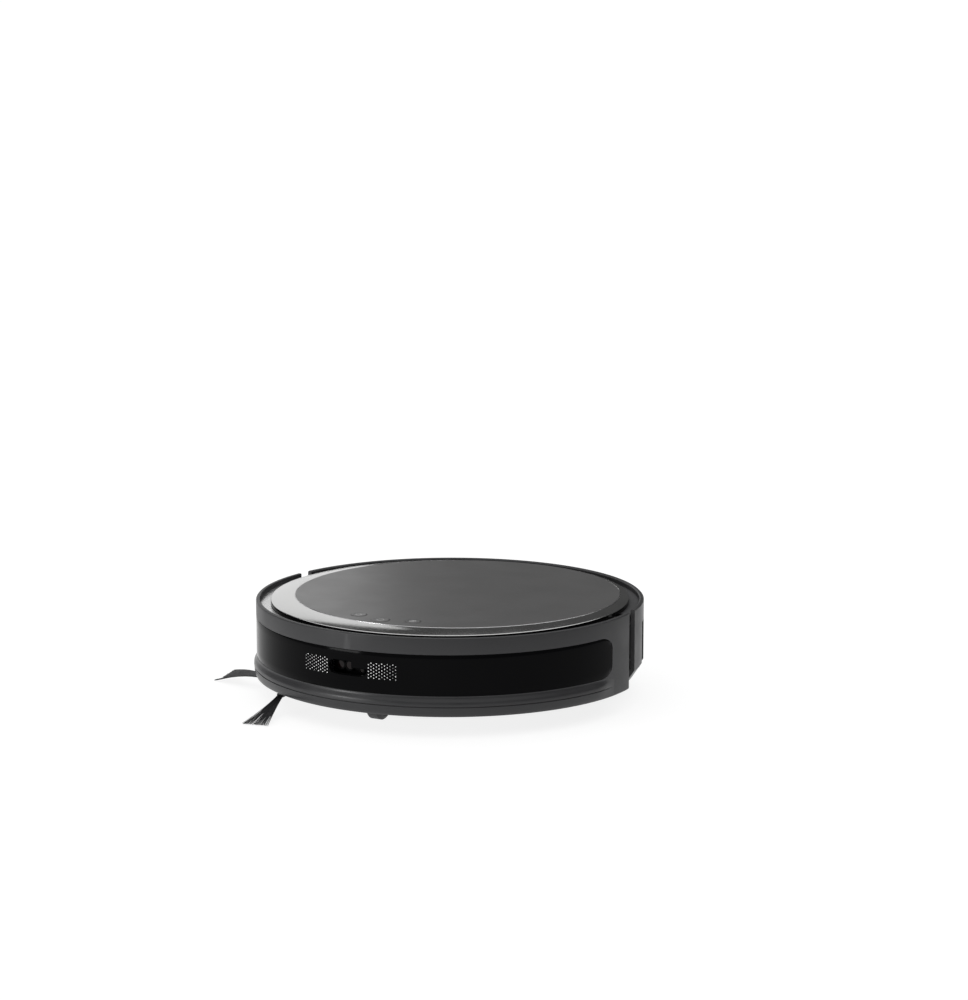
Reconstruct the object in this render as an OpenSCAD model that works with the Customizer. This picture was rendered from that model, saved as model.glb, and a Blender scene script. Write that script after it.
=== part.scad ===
// Low round robot vacuum cleaner with a sliding front bumper, a rear dust drawer,
// a sprung wheel on each side, a swivel caster, a main brush and one side brush.
// Millimetres. Z is up and the floor is z = 0. The origin is on the floor under the
// vertical axis of the round body. The front faces -Y and the machine's right is -X.

/* [Body] */
// Outer diameter of the round wall
body_d = 336; // [334:1:340]
// Height of the rim above the floor
body_h = 84; // [83.5:0.5:85]
// Thickness of the bumper and rear shell walls
wall_t = 3.8; // [3.4:0.2:3.8]
// Width of the open joint between bumper and rear shell, in degrees
side_gap = 4.6; // [3.5:0.1:5]

/* [Top] */
// Diameter of the raised top cover
cover_d = 310.4; // [308:0.4:311.2]
// Diameter of the inset control panel
panel_d = 281.8; // [270:0.2:283]
// How far the control panel sits back from the centre of the body
panel_back = 13.2; // [9:0.1:13.2]
// Diameter of the middle button
middle_button_d = 16; // [14:0.5:17]
// Diameter of the two outer buttons
outer_button_d = 14; // [12:0.5:15]
// Travel of the buttons
button_travel = 0.6; // [0.3:0.1:0.6]

/* [Bumper] */
// How far the bumper reaches round each side from the front, in degrees
bumper_half = 95.4; // [95:0.1:97]
// Height of the black sensor window
window_h = 34.5; // [30:0.5:35]
// Width of the front sensor slot
slot_w = 37; // [30:1:38]
// Height of the front sensor slot
slot_h = 11.5; // [10:0.5:13]
// How far the lower lip stands out from the wall
lip_out = 2.2; // [1:0.1:2.4]

/* [Running gear] */
// Diameter of the drive wheels
wheel_d = 66; // [64:0.5:66]
// Number of tread grooves on each tyre
tread_count = 24; // [16:1:30]
// Diameter of the main brush over its strips
brush_d = 39.6; // [38:0.2:40]
// Number of strips on the main brush
strip_count = 6; // [4:1:8]
// Reach of the side brush from its centre to the bristle tips
side_reach = 99; // [80:1:102]

/* [Hidden] */
// --- colours ---
charcoal = [0.20, 0.20, 0.205];
satin_grey = [0.33, 0.33, 0.335];
silver = [0.74, 0.74, 0.74];
gloss_black = [0.03, 0.03, 0.035];
black = [0.09, 0.09, 0.095];
board_green = [0.10, 0.30, 0.18];
steel = [0.66, 0.66, 0.68];
brass_tone = [0.80, 0.65, 0.35];
smoke = [0.28, 0.29, 0.31];
filter_white = [0.90, 0.90, 0.87];
brush_red = [0.62, 0.16, 0.12];
amber = [0.45, 0.10, 0.08];

// --- resolution ---
ring_fn = 180;
$fn = 64;

// --- directions, counted anticlockwise from +X seen from above ---
front_deg = 270;
rear_deg = 90;

// --- shell radii and heights ---
body_r = body_d / 2;
wall_in = body_r - wall_t;
frame_r = body_r - 11;
frame_t = 2;
pan_z = 15;
pan_t = 2.5;
pan_top = pan_z + pan_t;
pan_flat_r = frame_r - 7;
pan_edge_rise = 5;
shelf_t = 1.6;
shelf_z = body_h - 4.4;
shelf_low = shelf_z - shelf_t;
frame_top = shelf_low - 0.6;
cover_low = body_h - 3.8;
rim_round = 1;
bumper_low = 17.4;
bumper_travel = 4;
shell_half = 180 - bumper_half - side_gap;
shell_low = 19;
shell_bevel_r = 8;
shell_bevel_z = 12;
flange_r = frame_r - 5.5;
hair = 0.05;

// --- top cover, panel and buttons ---
cover_r = cover_d / 2;
panel_r = panel_d / 2;
ring_t = 0.5;
recess_r = panel_r + ring_t + 0.15;
panel_shift = min(panel_back, cover_r - recess_r - 0.4);
cover_slope = 0.026;
crown_z = body_h + 0.3;
panel_t = 2;
panel_top = body_h + 0.6;
panel_low = panel_top - panel_t;
cap_top = panel_top + 0.3;
cap_gap = 0.3;
cap_flange = 0.7;
cap_flange_t = 0.6;
cap_pocket = 1.4;
stem_r = 2;
stem_gap = 0.5;
outer_button_x = 26.6;
outer_button_y = -106.5;
middle_button_y = -115;
stem_low = 68.8;
button_spots = [[-outer_button_x, outer_button_y], [0, middle_button_y], [outer_button_x, outer_button_y]];
button_sizes = [outer_button_d, middle_button_d, outer_button_d] / 2;

// --- deck frame and its posts ---
deck_r = 145;
post_r = 4;
post_bore = 1.6;
post_spots = [[-33, -135.5], [33, -135.5], [-134, -38], [134, -38],
              [-138, 18], [138, 18], [-84, 113], [84, 113]];
shank_r = 1.5;
shank_gap = 0.3;
screw_head_r = 3;
screw_head_t = 1.3;

// --- bumper window, slot and lip ---
window_mid = 52.4;
window_half = 85;
window_t = 1;
window_corner = 10;
window_end_y = -body_r * cos(window_half);
window_seat = body_r - window_t - 0.1;
slot_z = 54;
// The slot is stepped: past this x only the part below the step stays open.
slot_step_x = 4;
slot_step_z = 0.4;
lip_half = 86;
lip_top = 34.8;
lip_mid = 28;
groove_z = 26.2;
groove_w = 0.7;
groove_depth = 1;
peg_x = 70;
peg_z = 60;
peg_r = 3;
spring_x = 55;
spring_z = 40;
spring_r = 3;
spring_wire = 0.5;
spring_turns = 4;

// --- front depth sensor ---
pod_front = -159;
pod_back = -136;
pod_half = 21;
pod_low = 43;
pod_high = 65;
lens_x = [-11.5, -3.2, 9];
lens_r = [3.2, 3.2, 1.9];
lens_drop = [0, 0, 2.8];

// --- main brush ---
brush_y = -44;
brush_z = brush_d / 2 + 0.7;
brush_r = brush_d / 2;
brush_half = 67;
core_r = 10;
strip_t = 1.6;
strip_twist = 50;
tunnel_r = 24;
tunnel_t = 2;
tunnel_half = 70;
axle_r = 4;
axle_bore = 4.05;
plate_t = 2;
coupler_r = 4;
coupler_end = 80;
gearbox_end = 84;
guard_low = 9;
guard_x = 73;
guard_y = 30;
guard_open_x = 69;
guard_open_y = 21;
guard_notch_r = 50;

// --- air path ---
duct_half = 38;
duct_wall = 2;
duct_low = 23;
duct_high = 41;
duct_end = 23.5;

// --- wheels and their arms ---
wheel_r = wheel_d / 2;
wheel_y = 16;
wheel_z = wheel_r;
wheel_in = 98;
wheel_out = 120;
hub_r = 25;
pivot_y = -16;
pivot_z = 46;
pivot_r = 3;
pivot_bore = 3.05;
arm_in = 77;
arm_out = 96.2;
arm_round = 14;
well_in = 74;
well_step = 91;
well_out = 125;
well_front_in = -24;
well_front_out = -30;
well_back = 51;
pod_top = 69;
pod_wall = 1.5;

// --- caster ---
caster_y = -122;
caster_trail = 4;
caster_r = 13.5;
caster_w = 15;
caster_hole = 22.4;
caster_cup_t = 2;
caster_flange = 2.5;
fork_r = 21.2;
fork_z = 28;
fork_t = 3;
fork_stem_top = 43;

// --- side brush ---
side_x = -98;
side_y = -94;
side_hub_r = 14;
side_hub_low = 6.5;
side_hub_top = 14.2;
side_shaft_r = 3;
side_bore = 3.05;
side_arm_end = 40;
side_arm_degs = [163.2, 282.4, 42.8];
side_arm_low = 9.8;
side_rise = 2;
bristles_per_arm = 9;
bristle_r = 0.25;
bristle_pitch = 0.6;
side_root_z = 12.2;
// The tuft under the body lags behind its arm, held back by the main brush.
tuft_lags = [0, 0, -70];
bristle_spread = 2.4;

// --- dust drawer ---
bin_x = 68;
bin_front = 25;
bin_back = 143;
bin_low = 22.4;
bin_high = 62;
bin_wall = 1.6;
lid_t = 2.4;
face_x = 71.5;
face_low = 22.6;
face_high = 73.4;
face_gap = 0.5;
port_z = 41;
port_r = 14;
port_wall = 2;
port_mouth = body_r - 1;
inlet_half = 32;
inlet_low = 27;
inlet_high = 39;
flap_t = 1.4;
flap_pin = 1.2;
flap_bore = 1.25;
filter_y0 = 55;
filter_y1 = 105;
filter_z0 = 27;
filter_z1 = 59;
release_r = 5;
release_z = 67;

// --- fan ---
fan_y = 80;
fan_z = 43;
fan_r = 24;
fan_wall = 2;
fan_in = 70;
fan_out = 96;
fan_motor_r = 13;
fan_motor_end = 115;
impeller_r = 20;
impeller_blades = 9;

// --- battery and board ---
battery = [[28, -112, 18], [100, -76, 56]];
door_edge = 1.5;
door_gap = 0.4;
board = [[-75, -121, 62], [32, -70, 63.6]];

// --- openings and pads in the rear shell, in degrees from the front ---
vent_deg = 113;
vent_half_w = 8.5;
vent_low = 27;
vent_high = 67;
vent_slats = 9;
contact_deg = 146;
contact_half_w = 8;
contact_half_h = 4;
contact_z = 40;
cliff_spots = [[20, 145.5], [-20, 145.5], [62, 145.5], [-62, 145.5]];

// --- helpers ---
module block(low, high) translate(low) cube(high - low);
module rod_x(r, x0, x1, y, z) translate([x0, y, z]) rotate([0, 90, 0]) cylinder(h = x1 - x0, r = r);
module rod_y(r, y0, y1, x, z) translate([x, y1, z]) rotate([90, 0, 0]) cylinder(h = y1 - y0, r = r);
module rod_z(r, z0, z1, x, y) translate([x, y, z0]) cylinder(h = z1 - z0, r = r);
module sweep(half, middle) rotate_extrude(angle = 2 * half, start = middle - half, $fn = ring_fn) children();
// Turns a child drawn out along +X so that it points at an angle from the front.
module facing(deg) rotate([0, 0, front_deg + deg]) children();
module both_sides() { children(); mirror([1, 0, 0]) children(); }

// --- base ---
module pan_holes() {
  block([-tunnel_half - plate_t - 0.2, brush_y - tunnel_r - 0.2, 0],
    [tunnel_half + plate_t + 0.2, brush_y + tunnel_r + 0.2, pan_top + hair]);
  block([tunnel_half, brush_y - 18.2, 0], [gearbox_end + 0.2, brush_y + 14.2, pan_top + hair]);
  both_sides() {
    block([well_in, well_front_in, 0], [well_step, well_back, pan_top + hair]);
    block([well_step - 1, well_front_out, 0], [well_out, well_back, pan_top + hair]);
  }
  block([-caster_hole, caster_y - caster_hole, 0], [caster_hole, caster_y + caster_hole, pan_top + 1]);
  rod_z(side_shaft_r + 3, 0, pan_top + 1, side_x, side_y);
  translate([0, 0, pan_z - 1]) linear_extrude(pan_t + 2) battery_outline(door_edge);
  for (p = post_spots) {
    rod_z(screw_head_r + 0.4, 0, pan_z + 1.7, p[0], p[1]);
    rod_z(shank_r + shank_gap, 0, pan_top + 1, p[0], p[1]);
  }
  for (s = cliff_spots) facing(s[0]) block([s[1] - 4, -8, 0], [s[1] + 4, 8, pan_top + 1]);
}

module wall_holes() {
  block([-face_x + 1.5, 100, pan_top], [face_x - 1.5, body_r, face_high - 1]);
  block([-pod_half - 1, -body_r, pod_low - 1], [pod_half + 1, -100, pod_high + 1]);
  both_sides() rod_y(peg_r + 0.5, -body_r, -120, peg_x, peg_z);
  for (s = [-1, 1]) facing(s * vent_deg) block([100, -vent_half_w + 2, vent_low + 4], [body_r, vent_half_w - 2, vent_high - 4]);
}

module battery_outline(edge) translate([battery[0][0] - edge, battery[0][1] - edge])
  square([battery[1][0] - battery[0][0] + 2 * edge, battery[1][1] - battery[0][1] + 2 * edge]);

// Round floor pan with its upright inner wall.
module chassis() color(charcoal) {
  difference() {
    rotate_extrude($fn = ring_fn) {
      polygon([
        [0, pan_z], [pan_flat_r, pan_z], [frame_r, pan_z + pan_edge_rise],
        [frame_r - frame_t, pan_z + pan_edge_rise], [pan_flat_r - 1, pan_top], [0, pan_top]]);
      translate([frame_r - frame_t, pan_z + pan_edge_rise + hair])
        square([frame_t, frame_top - pan_z - pan_edge_rise - hair]);
    }
    pan_holes();
    wall_holes();
  }
  both_sides() block([60, bin_front + 2, pan_top - hair], [64, bin_back - 6, bin_low - 0.2]);
}

module chassis_screws() color(steel) for (p = post_spots) difference() {
  union() {
    rod_z(screw_head_r, pan_z + 0.3, pan_z + 0.3 + screw_head_t, p[0], p[1]);
    rod_z(shank_r, pan_z + 0.3 + screw_head_t - hair, 27, p[0], p[1]);
  }
  translate([p[0], p[1], pan_z]) cylinder(h = 1.1, r = 1.5, $fn = 6);
}

// --- top ---
module stem_holes(r, z0, z1) for (p = button_spots) rod_z(r, z0, z1, p[0], p[1]);

// Flat deck under the cover, with the curved rear shelf that lies against its edge.
module deck_frame() color(silver) {
  difference() {
    rod_z(deck_r, shelf_low, cover_low, 0, 0, $fn = ring_fn);
    stem_holes(stem_r + stem_gap, shelf_low - 1, cover_low + 1);
  }
  translate([0, 0, shelf_low]) sweep(shell_half, rear_deg)
    translate([deck_r + hair, 0]) square([wall_in - 0.1 - deck_r - hair, shelf_t]);
}

// Eight equal standoffs between the floor pan and the deck.
module deck_posts() color(steel) for (p = post_spots) difference() {
  rod_z(post_r, pan_top, shelf_low, p[0], p[1]);
  rod_z(post_bore, pan_top - 1, 28, p[0], p[1]);
}

module top_cover() color(silver) difference() {
  intersection() {
    rod_z(cover_r, cover_low, crown_z + 1, 0, 0, $fn = ring_fn);
    translate([0, panel_shift, 0]) rotate_extrude($fn = ring_fn) polygon([
      [0, cover_low], [cover_r + 30, cover_low],
      [cover_r + 30, crown_z - cover_slope * (cover_r + 30 - recess_r)],
      [recess_r, crown_z], [0, crown_z]]);
  }
  rod_z(recess_r, panel_low, crown_z + 1, 0, panel_shift, $fn = ring_fn);
  for (i = [0 : 2]) rod_z(button_sizes[i] + cap_flange + 0.4, panel_low - cap_pocket, panel_low + 1,
    button_spots[i][0], button_spots[i][1]);
  stem_holes(stem_r + stem_gap, 0, panel_low);
}

module top_panel() color(satin_grey) difference() {
  rod_z(panel_r, panel_low + hair, panel_top, 0, panel_shift, $fn = ring_fn);
  for (i = [0 : 2]) rod_z(button_sizes[i] + cap_gap, panel_low - 1, panel_top + 1,
    button_spots[i][0], button_spots[i][1]);
}

module panel_ring() color(silver) translate([0, panel_shift, 0]) rotate_extrude($fn = ring_fn)
  translate([panel_r + hair, panel_low + hair]) square([ring_t, panel_top - panel_low - 0.2]);

module push_button(i) color(satin_grey) {
  x = button_spots[i][0];
  y = button_spots[i][1];
  r = button_sizes[i];
  rotate_about = [x, y, 0];
  translate(rotate_about) rotate_extrude() polygon([
    [0, stem_low], [stem_r, stem_low], [stem_r, panel_low - cap_flange_t - 0.1],
    [r + cap_flange, panel_low - cap_flange_t - 0.1], [r + cap_flange, panel_low - 0.1],
    [r, panel_low - 0.1], [r, cap_top - 0.4], [r - 0.4, cap_top], [0, cap_top]]);
}
module button_right() push_button(0);
module button_middle() push_button(1);
module button_left() push_button(2);

// --- rear shell and what sits in it ---
module shell_profile() polygon([
  [body_r, shell_low + shell_bevel_z], [body_r, body_h - rim_round], [body_r - rim_round, body_h],
  [wall_in + rim_round, body_h], [wall_in, body_h - rim_round], [wall_in, shell_low + shell_bevel_z + 1],
  [body_r - shell_bevel_r - 1.5, shell_low + 2.5], [frame_r + 0.3, shell_low + 2.5],
  [frame_r + 0.3, shell_low], [body_r - shell_bevel_r, shell_low]]);

module rear_shell() color(charcoal) difference() {
  sweep(shell_half, rear_deg) shell_profile();
  block([-face_x - face_gap, 100, face_low - face_gap], [face_x + face_gap, body_r + 10, face_high + face_gap]);
  for (s = [-1, 1]) {
    facing(s * vent_deg) block([wall_in - 4, -vent_half_w, vent_low], [body_r + 5, vent_half_w, vent_high]);
    facing(s * contact_deg) block([body_r - 2, -contact_half_w - 0.2, contact_z - contact_half_h - 0.2],
      [body_r + 5, contact_half_w + 0.2, contact_z + contact_half_h + 0.2]);
  }
}

module vent_grilles() color(black) for (s = [-1, 1]) facing(s * vent_deg) difference() {
  block([wall_in - 1.2, -vent_half_w + 0.1, vent_low + 0.1], [body_r - 2.4, vent_half_w - 0.1, vent_high - 0.1]);
  for (k = [0 : vent_slats - 1]) block([wall_in - 4, -vent_half_w + 2, vent_low + 3 + k * 4],
    [body_r + 2, vent_half_w - 2, vent_low + 5 + k * 4]);
}

module charge_contacts() color(brass_tone) for (s = [-1, 1]) facing(s * contact_deg)
  block([body_r - 1.95, -contact_half_w, contact_z - contact_half_h],
    [body_r, contact_half_w, contact_z + contact_half_h]);

// --- bumper ---
module window_outline(grow) {
  low = window_mid - window_h / 2 - grow;
  high = window_mid + window_h / 2 + grow;
  end = window_end_y + grow;
  far = -body_r - 20;
  // Drawn looking along +X: first number is y, second is z.
  translate([far, low]) square([end - window_corner - far, high - low]);
  translate([far, low + window_corner]) square([end - far, high - low - 2 * window_corner]);
  for (z = [low + window_corner, high - window_corner]) translate([end - window_corner, z]) circle(window_corner);
}
module window_block(grow) rotate([90, 0, 90]) translate([0, 0, -body_r - 20])
  linear_extrude(2 * body_r + 40) window_outline(grow);

module slot_block(grow) translate([0, -body_r - 10, slot_z]) rotate([-90, 0, 0]) linear_extrude(40) difference() {
  union() {
    square([slot_w - slot_h, slot_h + 2 * grow], center = true);
    for (s = [-1, 1]) translate([s * (slot_w - slot_h) / 2, 0]) circle(slot_h / 2 + grow);
  }
  translate([slot_step_x + grow, -slot_h]) square([slot_w, slot_h - slot_step_z - grow]);
}

module bumper_shell() color(charcoal) {
  difference() {
    sweep(bumper_half, front_deg) polygon([
      [wall_in, bumper_low], [body_r - 1, bumper_low], [body_r, bumper_low + 1], [body_r, body_h - rim_round],
      [body_r - rim_round, body_h], [wall_in + rim_round, body_h], [wall_in, body_h - rim_round],
      [wall_in, shelf_z], [flange_r, shelf_z], [flange_r, shelf_low], [wall_in, shelf_low]]);
    intersection() {
      window_block(0.15);
      sweep(bumper_half, front_deg) translate([window_seat, 0]) square([20, body_h]);
    }
    slot_block(0);
  }
  both_sides() rod_y(peg_r, -sqrt(pow(wall_in + 1, 2) - pow(peg_x, 2)), -131, peg_x, peg_z);
}

module bumper_window() color(gloss_black) difference() {
  intersection() {
    window_block(0);
    sweep(bumper_half, front_deg) translate([window_seat + hair, 0]) square([window_t, body_h]);
  }
  slot_block(0.6);
}

module bumper_lip() color(charcoal) sweep(lip_half, front_deg) {
  edge = body_r + hair;
  polygon([
    [edge, bumper_low + 1.2], [edge + lip_out * 0.35, bumper_low + 0.8], [edge + lip_out * 0.85, groove_z - 2.6],
    [edge + lip_out * 0.93, groove_z - groove_w / 2], [edge + lip_out - groove_depth, groove_z - groove_w / 2],
    [edge + lip_out - groove_depth, groove_z + groove_w / 2], [edge + lip_out, groove_z + groove_w / 2],
    [edge + lip_out, lip_mid], [edge + lip_out * 0.82, lip_mid + 2], [edge + lip_out * 0.3, lip_top - 2],
    [edge, lip_top]]);
}

module bumper_switches() color(black) for (s = [-1, 1]) facing(s * 33) {
  block([frame_r + 0.2, -5, 46], [frame_r + 2.2, 5, 56]);
  block([frame_r + 2.1, -1.5, 49], [frame_r + 3, 1.5, 53]);
}

module bumper_springs() color(steel) both_sides() {
  reach = sqrt(pow(wall_in, 2) - pow(spring_x + spring_r, 2)) - sqrt(pow(frame_r, 2) - pow(spring_x - spring_r, 2)) - 0.6;
  translate([spring_x, -sqrt(pow(frame_r, 2) - pow(spring_x - spring_r, 2)) - 0.3, spring_z]) rotate([90, 0, 0])
    linear_extrude(height = reach, twist = -360 * spring_turns, slices = 12 * spring_turns, $fn = 6)
      translate([spring_r - spring_wire, 0]) circle(spring_wire, $fn = 6);
}

// --- front depth sensor ---
module sensor_pod() color(black) difference() {
  union() {
    block([-pod_half, pod_front + 6, pod_low], [pod_half, pod_back, pod_high]);
    block([-pod_half + 4, pod_front + 3, slot_z - 5.2], [pod_half - 4, pod_front + 7, slot_z + 5.2]);
    for (i = [0 : 2]) rod_y(lens_r[i] + 1.2, pod_front, pod_front + 4, lens_x[i], slot_z - lens_drop[i]);
  }
  for (i = [0 : 2]) rod_y(lens_r[i], pod_front - 1, pod_front + 2, lens_x[i], slot_z - lens_drop[i]);
}

module sensor_lenses() color(amber) for (i = [0 : 2])
  rod_y(lens_r[i] - hair, pod_front + 0.5, pod_front + 1.9, lens_x[i], slot_z - lens_drop[i]);

// --- electronics ---
module main_board() {
  color(board_green) block(board[0], board[1]);
  color(black) {
    for (p = button_spots) block([p[0] - 3, p[1] - 3, board[1][2] - hair], [p[0] + 3, p[1] + 3, stem_low - button_travel - 0.5]);
    block([-50, -92, board[1][2] - hair], [-34, -76, board[1][2] + 1.6]);
    block([-22, -90, board[1][2] - hair], [-10, -78, board[1][2] + 1.4]);
    block([-70, -96, board[1][2] - hair], [-60, -80, board[1][2] + 5]);
    block([8, -92, board[1][2] - hair], [24, -76, board[1][2] + 6]);
  }
}

module battery_pack() color(smoke) difference() {
  block(battery[0], battery[1]);
  for (x = [46, 64, 82]) block([x - 0.6, battery[0][1] - 1, 24], [x + 0.6, battery[0][1] + 0.6, 50]);
}

module battery_door() color(charcoal) difference() {
  translate([0, 0, pan_z]) linear_extrude(pan_t) battery_outline(door_edge - door_gap);
  for (x = [36, 92]) for (k = [0 : 2]) block([x - 5, -100 + k * 4, pan_z - 1], [x + 5, -98 + k * 4, pan_z + 0.8]);
}

module speaker() color(black) difference() {
  union() {
    rod_z(18, 21, 38, side_x, 80);
    block([side_x - 20, 78, 18], [side_x + 20, 82, 26]);
  }
  rod_z(14, 34, 39, side_x, 80);
}

module cliff_sensors() color(amber) for (s = cliff_spots) facing(s[0])
  block([s[1] - 3.6, -7.6, pan_z + 0.4], [s[1] + 3.6, 7.6, pan_top + 2.5]);

// --- main brush and its housing ---
module brush_housing() color(charcoal) difference() {
  union() {
    intersection() {
      rod_x(tunnel_r + tunnel_t, -tunnel_half - plate_t, tunnel_half + plate_t, brush_y, brush_z);
      block([-body_r, -body_r, pan_top + hair], [body_r, 0, body_h]);
    }
    both_sides() block([tunnel_half, brush_y - tunnel_r, pan_z + 0.1], [tunnel_half + plate_t, brush_y + tunnel_r, pan_top + 2]);
  }
  rod_x(tunnel_r, -tunnel_half, tunnel_half, brush_y, brush_z);
  block([-duct_half + duct_wall, brush_y, duct_low + duct_wall], [duct_half - duct_wall, 0, duct_high - duct_wall]);
  rod_x(axle_bore, -tunnel_half - 3, -tunnel_half + 1, brush_y, brush_z);
  rod_x(coupler_r + 0.4, tunnel_half - 1, tunnel_half + 3, brush_y, brush_z);
}

module brush_guard() color(charcoal) difference() {
  union() {
    block([-guard_x, brush_y - guard_y, pan_z - 2.2], [guard_x, brush_y + guard_y, pan_z]);
    block([-guard_x + 5, brush_y - guard_y + 5, guard_low + 2], [guard_x - 5, brush_y + guard_y - 5, pan_z - 2]);
    block([-guard_x + 7, brush_y + guard_open_y, guard_low], [guard_x - 7, brush_y + guard_open_y + 3, guard_low + 3]);
  }
  block([-guard_open_x, brush_y - guard_open_y, 0], [guard_open_x, brush_y + guard_open_y, pan_z + 1]);
  rod_z(guard_notch_r, 0, pan_z + 1, side_x, side_y);
}

module brush_gearbox() color(black) difference() {
  block([tunnel_half + plate_t + 0.2, brush_y - 18, pan_z + 0.1], [gearbox_end, brush_y + 14, 72]);
  rod_x(coupler_r + 0.05, tunnel_half, coupler_end + 0.6, brush_y, brush_z);
}

module brush_motor() color(steel) {
  rod_x(11, 22, tunnel_half - 2, brush_y - 8, 61);
  rod_x(5, tunnel_half - 2 - hair, tunnel_half + plate_t + 0.1, brush_y - 8, 61);
  rod_x(3, 18, 22 + hair, brush_y - 8, 61);
}

module brush_core() color(black) {
  rod_x(core_r, -brush_half, brush_half, brush_y, brush_z);
  for (s = [-1, 1]) rod_x(core_r + 5, s * brush_half - 1, s * brush_half + 1, brush_y, brush_z);
}

module brush_strips() color(brush_red) for (k = [0 : strip_count - 1]) for (s = [-1, 1])
  translate([0, brush_y, brush_z]) rotate([0, s * 90, 0]) rotate([0, 0, s * k * 360 / strip_count])
    linear_extrude(height = brush_half - 1.2, twist = s * strip_twist, slices = 14, $fn = 6)
      translate([core_r + hair, -strip_t / 2]) square([brush_r - core_r - 0.1, strip_t]);

module brush_bearings() color(steel) {
  rod_x(axle_r, -tunnel_half - plate_t + 0.1, -brush_half - 1 - hair, brush_y, brush_z);
  rod_x(coupler_r, brush_half + 1 + hair, coupler_end, brush_y, brush_z);
}

module intake_duct() color(charcoal) difference() {
  block([-duct_half, -40, duct_low], [duct_half, duct_end, duct_high]);
  block([-duct_half + duct_wall, -41, duct_low + duct_wall], [duct_half - duct_wall, duct_end + 1, duct_high - duct_wall]);
  rod_x(tunnel_r + tunnel_t + hair, -60, 60, brush_y, brush_z);
}

// --- side brush ---
module side_brush_gearbox() color(black) difference() {
  union() {
    rod_z(12, pan_top + 0.1, 22, side_x, side_y);
    rod_z(17.5, 22 - hair, 42, side_x, side_y);
    rod_z(11, 42 - hair, 60, side_x, side_y);
  }
  rod_z(side_bore, 0, 28.6, side_x, side_y);
}

module side_brush_hub() color(black) translate([side_x, side_y, 0]) difference() {
  union() {
    rotate_extrude() polygon([
      [0, side_hub_low], [side_hub_r - 5, side_hub_low], [side_hub_r - 1, side_hub_low + 2],
      [side_hub_r, side_hub_top - 2], [side_hub_r, side_hub_top], [side_shaft_r, side_hub_top],
      [side_shaft_r, 28], [0, 28]]);
    for (a = side_arm_degs) rotate([0, 0, a]) translate([9, 0, side_arm_low]) rotate([0, -side_rise, 0])
      linear_extrude(2.8) polygon([[0, -6], [side_arm_end - 22, -3.4], [side_arm_end - 17, -3],
        [side_arm_end - 9, -3], [side_arm_end - 9, 3], [side_arm_end - 17, 3],
        [side_arm_end - 22, 3.4], [0, 6]]);
  }
  rod_z(4.5, 0, side_hub_low + 1.6, 0, 0);
  rod_z(1.6, 0, 20, 0, 0);
}

// Straight bristles that fan out from the end of each arm to just above the floor.
module side_brush_bristles() color(black) translate([side_x, side_y, 0]) for (a = [0 : 2])
  rotate([0, 0, side_arm_degs[a]]) for (k = [0 : bristles_per_arm - 1]) {
    across = k - (bristles_per_arm - 1) / 2;
    lag = tuft_lags[a];
    out = side_reach - side_arm_end - 0.4 * abs(across);
    from = [side_arm_end + 0.4, across * bristle_pitch, side_root_z];
    to = [side_arm_end + out * cos(lag) - across * bristle_spread * sin(lag),
      out * sin(lag) + across * bristle_spread * cos(lag), 1];
    run = to - from;
    translate(from) rotate([0, acos(run[2] / norm(run)), atan2(run[1], run[0])])
      cylinder(h = norm(run), r = bristle_r, $fn = 16);
  }

module side_brush_screw() color(steel) difference() {
  union() {
    rod_z(4, side_hub_low, side_hub_low + 1.5, side_x, side_y);
    rod_z(1.5, side_hub_low + 1.4, 19.5, side_x, side_y);
  }
  translate([side_x, side_y, 0]) cylinder(h = side_hub_low + 1, r = 1.5, $fn = 6);
}

// --- wheels ---
module wheel_pod() {
  difference() {
    union() {
      block([well_in - pod_wall, well_front_in - pod_wall, pan_top + 0.1], [well_step, well_back + pod_wall, pod_top + pod_wall]);
      block([well_step - 1 - pod_wall, well_front_out - pod_wall, pan_top + 0.1], [well_out + pod_wall, well_back + pod_wall, pod_top + pod_wall]);
    }
    block([well_in, well_front_in, 0], [well_step, well_back, pod_top]);
    block([well_step - 1, well_front_out, 0], [well_out, well_back, pod_top]);
  }
  rod_x(pivot_r, well_in - hair, arm_out + 0.2, pivot_y, pivot_z);
}
module wheel_pods() color(charcoal) both_sides() wheel_pod();

module arm_springs() color(steel) both_sides() difference() {
  rod_x(5, well_in + 0.2, arm_in - 0.4, pivot_y, pivot_z);
  rod_x(3.5, well_in, arm_in, pivot_y, pivot_z);
}

module arm() color(satin_grey) difference() {
  union() {
    rod_x(6.8, arm_in, arm_out - 2, pivot_y, pivot_z);
    rod_x(arm_round, arm_in, arm_out, wheel_y, wheel_z);
    translate([arm_in + 2, pivot_y, pivot_z]) rotate([atan2(wheel_z - pivot_z, wheel_y - pivot_y), 0, 0])
      translate([0, 0, -5]) cube([arm_out - arm_in - 5, norm([wheel_z - pivot_z, wheel_y - pivot_y]), 11]);
    rod_y(8.6, wheel_y + 8, 46, 86.5, wheel_z + 1);
  }
  rod_x(pivot_bore, arm_in - 1, arm_out + 1, pivot_y, pivot_z);
  rod_x(axle_bore, arm_out - 9, arm_out + 1, wheel_y, wheel_z);
}
module arm_left() arm();
module arm_right() mirror([1, 0, 0]) arm();

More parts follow.
